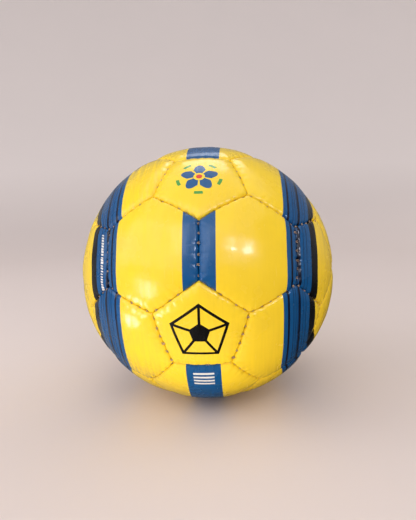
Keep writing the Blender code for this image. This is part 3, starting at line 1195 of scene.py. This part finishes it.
@dataclass
class Cover:
    """The thirty-two sewn panels, each with its print, and the hole for the valve in the top one."""

    net: BallNet
    speckle: bpy.types.NodeTree
    finish: CoverFinish = CoverFinish()
    hole_radius: float = 4.3 * MM
    hole_flare: float = 0.35 * MM
    hole_sides: int = 64
    flare_start: float = 0.3 * MM
    cutter_length: float = 8.0 * MM
    cutter_rise: float = 2.0 * MM
    smooth_angle: float = math.radians(60)
    seed: int = 11

    def __post_init__(self) -> None:
        """Make the materials and the two flat panels that every panel starts from."""
        stripes = self.finish.stripes_group()
        self.materials = {}
        for kind in Print:
            self.materials[kind] = CoverPainter(kind, self.finish, self.speckle, stripes).paint()
        self.flats = {sides: FlatPanel.model(sides) for sides in (5, 6)}

    def cut_valve_hole(self, piece: bpy.types.Object) -> None:
        """Cut the round hole for the valve's stem, with a flared mouth.

        Args:
            piece: The panel at the top of the ball.
        """
        start_clean()
        size = {"radius": self.hole_radius, "depth": self.cutter_length}
        bpy.ops.mesh.primitive_cylinder_add(vertices=self.hole_sides, enter_editmode=True, **size)
        middle = BALL_RADIUS - self.flare_start - self.cutter_length / 2
        bpy.ops.transform.translate(value=(0, 0, middle))
        cutter = bpy.context.object
        select_faces(lambda normal: normal.z > LOOKS_ALONG)
        flare = 1 + self.hole_flare / self.hole_radius
        bpy.ops.mesh.extrude_region_move(TRANSFORM_OT_translate={"value": (0, 0, self.hole_flare)})
        bpy.ops.transform.resize(value=(flare, flare, 1), center_override=(0, 0, BALL_RADIUS))
        bpy.ops.mesh.extrude_region_move(TRANSFORM_OT_translate={"value": (0, 0, self.cutter_rise)})
        make_active(piece)
        cut = piece.modifiers.new("valve_hole", "BOOLEAN")
        cut.object = cutter
        cut.operation = "DIFFERENCE"
        bpy.ops.object.modifier_apply(modifier=cut.name)
        bpy.data.objects.remove(cutter)

    def build(self) -> None:
        """Make every panel, print it and mount it in place of its node."""
        for number, panel in enumerate(self.net.panels):
            random = np.random.default_rng(self.seed + number)
            sewn = SewnPanel(panel, self.flats[len(panel.corners)], self.net, random)
            mesh = sewn.shape()
            mesh.materials.append(self.materials[PANEL_PRINTS.get(panel.name, Print.STRIPES)])
            piece = add_piece(mesh.name, mesh)
            if panel.name == TOP_PANEL:
                self.cut_valve_hole(piece)
            sewn.lay_print(mesh)
            make_active(piece)
            bpy.ops.object.shade_smooth_by_angle(angle=self.smooth_angle)
            mount(piece, "ball", "cover", panel.name)


@dataclass(frozen=True)
class ThreadFinish:
    """Waxed thread: twisted plies, with painted shade darkening the grooves between them."""

    colour: Colour = ink(240, 210, 180)
    # Painted shade: the darker colour laid in the grooves between the plies.
    groove_shade: Colour = ink(138, 100, 74)
    twist_scale: float = 7.0
    twist_wander: float = 1.0
    twist_strength: float = 0.6
    twist_depth: float = 0.1 * MM
    fuzz_scale: float = 260.0
    fuzz_limits: Span = (0.3, 0.7)
    ply_limits: Span = (0.1, 0.5)
    roughness: Span = (0.45, 0.7)

    def material(self) -> bpy.types.Material:
        """Make the material, which follows the strands' own UV map.

        Returns:
            The material.
        """
        material, sheet = new_material("waxed_thread")
        uv = sheet.add("ShaderNodeUVMap", uv_map=UV_STRAND).outputs[0]
        lay = {"Vector": uv, "Scale": self.twist_scale, "Distortion": self.twist_wander}
        twist = sheet.add("ShaderNodeTexWave", lay, bands_direction="DIAGONAL").outputs["Fac"]
        fuzz = sheet.noise(sheet.place(), self.fuzz_scale, detail=2.0)
        ply = sheet.range(sheet.math("MULTIPLY", twist, fuzz), self.ply_limits, (0.0, 1.0))
        sheet.dress(SHADER, {
            "Base Color": sheet.mix(ply, self.groove_shade, self.colour),
            "Roughness": sheet.range(fuzz, self.fuzz_limits, self.roughness),
            "Normal": sheet.bump(twist, self.twist_depth, self.twist_strength),
        })
        return material


@dataclass
class SeamThread:
    """The stitches that show in the seams: two strands of thread side by side, from panel to panel."""

    net: BallNet
    finish: ThreadFinish = ThreadFinish()
    thickness: float = 0.44 * MM
    length: float = 2.0 * MM
    sides: int = 8
    end_round: float = 0.6
    depth: float = 2.1 * MM
    depth_wander: float = 0.3 * MM
    along_wander: float = 0.35 * MM
    strand_offset: float = 0.3 * MM
    slant: float = math.radians(11)
    wander: float = math.radians(5)
    seed: int = 23

    def strand(self) -> bpy.types.Mesh:
        """Model one short strand along X with rounded ends.

        Returns:
            Its mesh.
        """
        start_clean()
        radius = self.thickness / 2
        size = {"radius": radius, "depth": self.length}
        bpy.ops.mesh.primitive_cylinder_add(vertices=self.sides, enter_editmode=True, **size)
        select_faces(lambda normal: abs(normal.z) > LOOKS_ALONG)
        bpy.ops.mesh.region_to_loop()
        bpy.ops.mesh.bevel(offset=radius * self.end_round, segments=1, affect="EDGES")
        mesh = take_mesh()
        mesh.transform(Matrix.Rotation(math.pi / 2, 4, "Y"))
        return mesh

    def stitch_places(self, seam: Seam, random: np.random.Generator) -> list[Matrix]:
        """Where the strands of one seam lie.

        Args:
            seam: The seam.
            random: The source of their unevenness.

        Returns:
            A placing for each strand.
        """
        start, end = Vector(seam.start), Vector(seam.end)
        across = start.cross(end).normalized()
        places = []
        for share in seam.stitches:
            up = start.slerp(end, share)
            along = across.cross(up)
            depth = self.depth + random.uniform(-self.depth_wander, self.depth_wander)
            slip = random.uniform(-self.along_wander, self.along_wander)
            for side in (-1, 1):
                turn = Matrix.Rotation(side * self.slant + random.uniform(-self.wander, self.wander), 3, up)
                frame_here = Matrix((across, along, up)).transposed()
                middle = up * (BALL_RADIUS - depth) + along * (slip + side * self.strand_offset)
                places.append(Matrix.Translation(middle) @ (turn @ frame_here).to_4x4())
        return places

    def build(self) -> None:
        """Sew each group of seams and mount its stitches in place of its thread."""
        strand = self.strand()
        material = self.finish.material()
        groups: dict[str, list[Matrix]] = {"upper_half": [], "lower_half": [], "closing_seam": []}
        random = np.random.default_rng(self.seed)
        for seam in self.net.seams.values():
            above = [panel.axis[2] > 0 for panel in seam.panels]
            group = "upper_half" if all(above) else "closing_seam" if any(above) else "lower_half"
            groups[group] += self.stitch_places(seam, random)
        for group, places in groups.items():
            start_clean()
            for place in places:
                mesh = strand.copy()
                mesh.transform(place)
                piece = add_piece("stitches_" + group, mesh)
                piece.select_set(True)
            bpy.context.view_layer.objects.active = piece
            bpy.ops.object.join()
            piece.name = "stitches_" + group
            piece.data.materials.append(material)
            bpy.ops.object.shade_smooth()
            mount(piece, "ball", "thread", "thread_" + group)


@dataclass(frozen=True)
class RubberFinish:
    """Moulded rubber with a bloom of dust and a fine grain. Sizes are in millimetres."""

    name: str
    colour: Colour
    roughness: float
    grain_size: float = 0.16
    grain_strength: float = 0.25
    grain_depth: float = 0.05 * MM
    patch_size: float = 2.4
    dust: Colour = ink(120, 116, 108)
    dust_limits: Span = (0.4, 0.75)
    dust_shares: Span = (0.0, 0.22)
    dust_dulling: float = 0.8

    def material(self, speckle: bpy.types.NodeTree) -> bpy.types.Material:
        """Make the material.

        Args:
            speckle: The shared effect for grain and patches.

        Returns:
            The material.
        """
        material, sheet = new_material(self.name)
        speckled = sheet.group(speckle, {"Grain size": self.grain_size, "Patch size": self.patch_size})
        dusty = sheet.range(speckled["Patches"], self.dust_limits, self.dust_shares)
        sheet.dress(SHADER, {
            "Base Color": sheet.mix(dusty, self.colour, self.dust),
            "Roughness": sheet.math("MULTIPLY_ADD", dusty, self.dust_dulling, self.roughness),
            "Normal": sheet.bump(speckled["Grain"], self.grain_depth, self.grain_strength),
        })
        return material


@dataclass(frozen=True)
class ClothFinish:
    """Plain woven cloth, with painted shade in the gaps between its threads."""

    thread: Colour = ink(186, 182, 170)
    # Painted shade: the darker colour laid in the gaps between the threads.
    gap: Colour = ink(120, 116, 106)
    weave_scale: float = 420.0
    weave_strength: float = 0.5
    weave_depth: float = 0.1 * MM
    roughness: float = 0.85

    def material(self) -> bpy.types.Material:
        """Make the material.

        Returns:
            The material.
        """
        material, sheet = new_material("patch_cloth")
        lay = {"Vector": sheet.place(), "Scale": self.weave_scale}
        waves = [sheet.add("ShaderNodeTexWave", lay, bands_direction=way) for way in ("X", "Y")]
        threads = sheet.any_of(*(wave.outputs["Fac"] for wave in waves))
        sheet.dress(SHADER, {
            "Base Color": sheet.mix(threads, self.gap, self.thread),
            "Roughness": self.roughness,
            "Normal": sheet.bump(threads, self.weave_depth, self.weave_strength),
        })
        return material


@dataclass
class Valve:
    """The needle valve: a rubber housing through the top panel, and the plug that pulls out of it."""

    speckle: bpy.types.NodeTree
    housing_rubber: RubberFinish = RubberFinish("valve_black", ink(26, 26, 28), 0.48)
    plug_rubber: RubberFinish = RubberFinish("plug_grey", ink(58, 58, 61), 0.42)
    bladder_rubber: RubberFinish = RubberFinish("bladder_latex", ink(196, 158, 104), 0.5)
    patch_cloth: ClothFinish = ClothFinish()
    stem_radius: float = 4.0 * MM
    base_radius: float = 10.0 * MM
    base_thickness: float = 1.2 * MM
    base_dish: float = 0.7 * MM
    bore_radius: float = 2.3 * MM
    air_hole: float = 1.2 * MM
    plug_play: float = 0.2 * MM
    plug_radius: float = 2.1 * MM
    plug_head_thickness: float = 0.9 * MM
    needle_radius: float = 0.7 * MM
    needle_flare: float = 0.6 * MM
    needle_end_wall: float = 1.6 * MM
    end_ring: float = 0.25
    edge_round: float = 0.25 * MM
    edge_divider: float = 2.2
    steps: int = 64
    round_steps: int = 4
    merge_distance: float = 0.002 * MM
    smooth_angle: float = math.radians(40)

    def __post_init__(self) -> None:
        """Take the heights from the frame."""
        self.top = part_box("valve_core")[1].z
        self.plug_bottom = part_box("valve_core")[0].z
        self.head_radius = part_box("valve_core")[1].x
        self.housing_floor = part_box("valve_housing")[0].z

    def rounded(self, outline: list[Span], closed: bool) -> list[Span]:
        """Round off the corners of an outline.

        Args:
            outline: Points (distance from the axis, height).
            closed: Whether the last point joins the first.

        Returns:
            The points of the rounded outline.
        """
        points = [np.array(point) for point in outline]
        result = []
        for k, point in enumerate(points):
            if not closed and k in (0, len(points) - 1):
                result.append(tuple(point))
                continue
            before, after = points[k - 1] - point, points[(k + 1) % len(points)] - point
            shorter = min(np.linalg.norm(before), np.linalg.norm(after))
            reach = min(self.edge_round, shorter / self.edge_divider)
            first, last = point + unit(before) * reach, point + unit(after) * reach
            for share in np.arange(self.round_steps + 1) / self.round_steps:
                left = 1 - share
                result.append(tuple(left**2 * first + 2 * share * left * point + share**2 * last))
        return result

    def turned(self, name: str, outline: list[Span], closed: bool, rubber: RubberFinish) -> bpy.types.Object:
        """Turn a rounded outline about +Z: a ring that is extruded, resized and lifted to each next point.

        Args:
            name: The name of the piece.
            outline: Points (distance from the axis, height).
            closed: Whether the last point joins the first; otherwise both ends are capped.
            rubber: What it is made of.

        Returns:
            The piece.
        """
        start_clean()
        points = self.rounded(outline, closed)
        radius, height = points[0]
        bpy.ops.mesh.primitive_circle_add(vertices=self.steps, radius=radius, enter_editmode=True)
        bpy.ops.mesh.select_mode(type="EDGE")
        bpy.ops.transform.translate(value=(0, 0, height))
        for next_radius, next_height in points[1:] + (points[:1] if closed else []):
            bpy.ops.mesh.extrude_edges_move(TRANSFORM_OT_translate={"value": (0, 0, next_height - height)})
            share = next_radius / radius
            bpy.ops.transform.resize(value=(share, share, 1), center_override=(0, 0, next_height))
            radius, height = next_radius, next_height
        bpy.ops.mesh.select_all(action="SELECT")
        bpy.ops.mesh.remove_doubles(threshold=self.merge_distance)
        if not closed:
            bpy.ops.mesh.fill_holes(sides=0)
        bpy.ops.mesh.select_all(action="SELECT")
        bpy.ops.mesh.normals_make_consistent(inside=False)
        bpy.ops.object.mode_set(mode="OBJECT")
        piece = bpy.context.object
        piece.name = piece.data.name = name
        piece.data.materials.append(rubber.material(self.speckle))
        bpy.ops.object.shade_smooth_by_angle(angle=self.smooth_angle)
        return piece

    def build_housing(self) -> None:
        """Make the housing: a stem with a rounded rim on a dished base, and the bore for the plug."""
        base_top = self.housing_floor + self.base_thickness
        head_bore = self.head_radius + self.plug_play
        head_seat = self.top - self.plug_head_thickness - self.plug_play
        plug_seat = self.plug_bottom - self.plug_play
        outline = [
            (self.stem_radius, self.top),
            (self.stem_radius, base_top + self.base_dish),
            (self.base_radius, base_top),
            (self.base_radius, self.housing_floor),
            (self.air_hole, self.housing_floor),
            (self.air_hole, plug_seat),
            (self.bore_radius, plug_seat),
            (self.bore_radius, head_seat),
            (head_bore, head_seat),
            (head_bore, self.top),
        ]
        piece = self.turned("turned_valve_housing", outline, True, self.housing_rubber)
        mount(piece, "ball", "valve_rubber", "valve_housing")

    def build_plug(self) -> None:
        """Make the plug: a flanged rubber pin with a flared blind channel for the pump's needle."""
        channel_end = self.plug_bottom + self.needle_end_wall
        head_bottom = self.top - self.plug_head_thickness
        outline = [
            (self.needle_radius * self.end_ring, channel_end),
            (self.needle_radius, channel_end),
            (self.needle_radius, self.top - self.needle_flare),
            (self.needle_radius + self.needle_flare, self.top),
            (self.head_radius, self.top),
            (self.head_radius, head_bottom),
            (self.plug_radius, head_bottom),
            (self.plug_radius, self.plug_bottom),
            (self.plug_radius * self.end_ring, self.plug_bottom),
        ]
        piece = self.turned("turned_valve_plug", outline, False, self.plug_rubber)
        mount(piece, "plug", "plug_rubber", "valve_core")

    def dress_inside(self) -> None:
        """Give the bladder and its patch, which keep their own shapes, finer finishes."""
        finishes = {
            "bladder": self.bladder_rubber.material(self.speckle),
            "valve_patch": self.patch_cloth.material(),
        }
        for node, material in finishes.items():
            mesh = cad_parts[node].data
            mesh.materials.clear()
            mesh.materials.append(material)
            log.info("%s keeps its shape, dressed in %s", node, material.name)

    def build(self) -> None:
        """Make and dress the whole valve."""
        self.build_housing()
        self.build_plug()
        self.dress_inside()


# The colour of the light that fills the room.
ROOM_COLOUR = ink(236, 234, 236)


@dataclass(frozen=True)
class PaperFinish:
    """Pale matt paper with a hardly visible mottle. The camera sees it paler away from the ball."""

    colour: Colour = ink(222, 210, 206)
    mottle_scale: float = 2.2
    mottle_dark: float = 0.94
    roughness: float = 0.9
    lift_colour: Colour = ROOM_COLOUR
    lift: Span = (0.0, 0.22)
    lift_reach: Span = (0.5, 1.25)

    def material(self) -> bpy.types.Material:
        """Make the material.

        Returns:
            The material.
        """
        material, sheet = new_material("pale_paper")
        place = sheet.place()
        mottle = sheet.noise(place, self.mottle_scale, detail=3.0)
        darker = (*(self.mottle_dark * share for share in self.colour[:3]), 1.0)
        away = sheet.add("ShaderNodeVectorMath", {0: place}, operation="LENGTH").outputs["Value"]
        seen = sheet.add("ShaderNodeLightPath").outputs["Is Camera Ray"]
        sheet.dress(SHADER, {
            "Base Color": sheet.mix(mottle, darker, self.colour),
            "Roughness": self.roughness,
            "Emission Color": self.lift_colour,
            "Emission Strength": sheet.all_of(sheet.range(away, self.lift_reach, self.lift), seen),
        })
        return material


class LampRole(Enum):
    """What a lamp does: light the ball and be mirrored in its gloss, or only one of the two."""

    LAMP = "lamp"
    WASH = "wash"
    SHEEN = "sheen"


def round_the_ball(azimuth: float, elevation: float, distance: float) -> Vector:
    """A place round the ball.

    Args:
        azimuth: Its turn from the front towards the right, in degrees.
        elevation: Its height over the ball's girdle, in degrees.
        distance: Its distance from the ball's centre.

    Returns:
        The place.
    """
    turn, rise = math.radians(azimuth), math.radians(elevation)
    flat = math.cos(rise)
    return Vector((math.sin(turn) * flat, -math.cos(turn) * flat, math.sin(rise))) * distance


@dataclass(frozen=True)
class Lamp:
    """A soft lamp: where it stands round the ball, in degrees and metres, its size, its power and its colour.

    It faces the ball's middle, the spot on the ball's girdle at the azimuth that it is aimed at, or upwards.
    """

    name: str
    azimuth: float
    elevation: float
    distance: float
    width: float
    height: float
    power: float
    colour: tuple[float, float, float] = (1.0, 0.98, 0.95)
    role: LampRole = LampRole.LAMP
    faces_up: bool = False
    aim: Optional[float] = None
    spread: float = 180.0

    def hang(self) -> None:
        """Put up the lamp."""
        start_clean()
        place = round_the_ball(self.azimuth, self.elevation, self.distance)
        spot = Vector() if self.aim is None else round_the_ball(self.aim, 0, BALL_RADIUS)
        way = Vector((0, 0, 1)) if self.faces_up else spot - place
        turn = way.to_track_quat("-Z", "Y").to_euler()
        bpy.ops.object.light_add(type="AREA", location=place, rotation=turn)
        light = bpy.context.object
        light.name = self.name
        light.data.shape = "DISK" if self.width == self.height else "RECTANGLE"
        light.data.size = self.width
        light.data.size_y = self.height
        light.data.spread = math.radians(self.spread)
        light.data.energy = self.power
        light.data.color = self.colour
        light.visible_camera = False
        light.visible_glossy = self.role != LampRole.WASH
        light.visible_diffuse = self.role != LampRole.SHEEN


@dataclass
class Studio:
    """A pale cove of paper, soft lamps and the camera."""

    camera_azimuth: float = 3.49
    camera_elevation: float = 12.42
    camera_distance: float = 0.2981
    camera_roll: float = math.radians(1.54)
    camera_near: float = 0.01
    aim: tuple[float, float, float] = (0.0002, 0.0013, 0.0067)
    lens: float = 36.0
    sensor: float = 36.0
    paper: PaperFinish = PaperFinish()
    cove_radius: float = 2.6
    cove_height: float = 2.4
    cove_fold: float = 2.0
    cove_sides: int = 96
    fold_steps: int = 24
    room_colour: Colour = ROOM_COLOUR
    room_strength: float = 0.28
    under_strengths: Span = (0.36, 0.05)
    sides: Span = (-0.75, 0.1)
    horizon: Span = (-0.25, 0.1)
    lamps: tuple[Lamp, ...] = (
        Lamp("window", -48, 30, 1.6, 2.1, 1.1, 8.2, (0.97, 0.97, 1.1)),
        Lamp("ceiling", 0, 86, 1.95, 3.8, 3.8, 24.5),
        Lamp("side_wash", -92, 14, 0.9, 0.6, 0.4, 0.85, role=LampRole.WASH, spread=90),
        Lamp("front_wash", 10, 36, 0.8, 0.6, 0.5, 0.5, role=LampRole.WASH, spread=90),
        Lamp("back_wash", 120, 18, 0.95, 1.0, 0.6, 0.8, role=LampRole.WASH, spread=90),
        Lamp("floor_wash", -16, -29.4, 0.14, 0.14, 0.1, 0.06, (1.0, 0.96, 0.88), LampRole.WASH, True),
        Lamp(
            "low_card", -52, -19.0, 0.165, 0.035, 0.026, 0.0011,
            (0.55, 0.62, 1.0), LampRole.SHEEN, aim=-27, spread=40,
        ),
        Lamp(
            "high_card", -43, -5.0, 0.3, 0.1, 0.085, 0.011,
            (0.55, 0.62, 1.0), LampRole.SHEEN, aim=-22, spread=40,
        ),
        Lamp("front_card", -12, 41, 1.2, 0.62, 0.66, 1.25, (0.85, 0.9, 1.0), LampRole.SHEEN),
        Lamp("top_lamp", 180, 56, 1.1, 0.55, 0.55, 1.6, (0.9, 0.93, 1.0), LampRole.SHEEN),
        Lamp("small_lamp", 24.6, 31.3, 1.1, 0.055, 0.055, 0.8, (0.8, 0.85, 1.0), LampRole.SHEEN),
        Lamp("round_lamp", 40.2, 27.5, 1.1, 0.18, 0.18, 2.3, (0.75, 0.8, 1.0), LampRole.SHEEN),
    )

    def build_cove(self) -> None:
        """Model the floor: a disk whose rim is extruded up into a wall, with a round fold between."""
        start_clean()
        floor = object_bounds()[0].z
        size = {"vertices": self.cove_sides, "radius": self.cove_radius}
        bpy.ops.mesh.primitive_circle_add(fill_type="NGON", enter_editmode=True, **size)
        bpy.ops.transform.translate(value=(0, 0, floor))
        bpy.ops.mesh.select_mode(type="EDGE")
        bpy.ops.mesh.region_to_loop()
        bpy.ops.mesh.extrude_edges_move(TRANSFORM_OT_translate={"value": (0, 0, self.cove_height)})
        bpy.ops.object.mode_set(mode="OBJECT")
        cove = bpy.context.object
        cove.name = cove.data.name = "paper_cove"
        for part in (*cove.data.vertices, *cove.data.polygons):
            part.select = False
        for edge in cove.data.edges:
            edge.select = all(cove.data.vertices[end].co.z < floor + MM for end in edge.vertices)
        bpy.ops.object.mode_set(mode="EDIT")
        bpy.ops.mesh.bevel(offset=self.cove_fold, segments=self.fold_steps, affect="EDGES")
        bpy.ops.object.mode_set(mode="OBJECT")
        bpy.ops.object.shade_smooth()
        cove.data.materials.append(self.paper.material())
        cove.visible_glossy = False
        cove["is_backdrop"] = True

    def light_room(self) -> None:
        """Give the room an even light from above, and one from below that fades from left to right."""
        scene = bpy.context.scene
        scene.view_settings.view_transform = "Standard"
        scene.world = bpy.data.worlds.new("soft_room")
        scene.world.use_nodes = True
        sheet = NodeSheet(scene.world.node_tree)
        way = sheet.add("ShaderNodeTexCoord").outputs["Generated"]
        parts = sheet.add("ShaderNodeSeparateXYZ", {0: way}).outputs
        under = sheet.range(parts["X"], self.sides, self.under_strengths)
        strength = sheet.range(parts["Z"], self.horizon, (under, self.room_strength))
        sheet.dress("Background", {"Color": self.room_colour, "Strength": strength})

    def place_camera(self) -> None:
        """Stand the camera where the photograph was taken from."""
        start_clean()
        place = round_the_ball(self.camera_azimuth, self.camera_elevation, self.camera_distance)
        way = (Vector(self.aim) - place).to_track_quat("-Z", "Y").to_matrix()
        turn = way @ Matrix.Rotation(-self.camera_roll, 3, "Z")
        bpy.ops.object.camera_add(location=place, rotation=turn.to_euler())
        camera = bpy.context.object
        camera.data.sensor_fit = "VERTICAL"
        camera.data.sensor_height = self.sensor
        camera.data.lens = self.lens
        camera.data.clip_start = self.camera_near
        bpy.context.scene.camera = camera

    def build(self) -> None:
        """Set up the floor, the lamps and the camera."""
        self.build_cove()
        self.light_room()
        for lamp in self.lamps:
            lamp.hang()
        self.place_camera()


def main() -> None:
    """Build and dress the ball, from the cover to the valve, then the studio round it."""
    logging.basicConfig(level=logging.INFO, format="%(name)s: %(message)s")
    net = BallNet()
    speckle = Speckle().build()
    Cover(net, speckle).build()
    SeamThread(net).build()
    Valve(speckle).build()
    Studio().build()


if __name__ == "__main__":
    main()
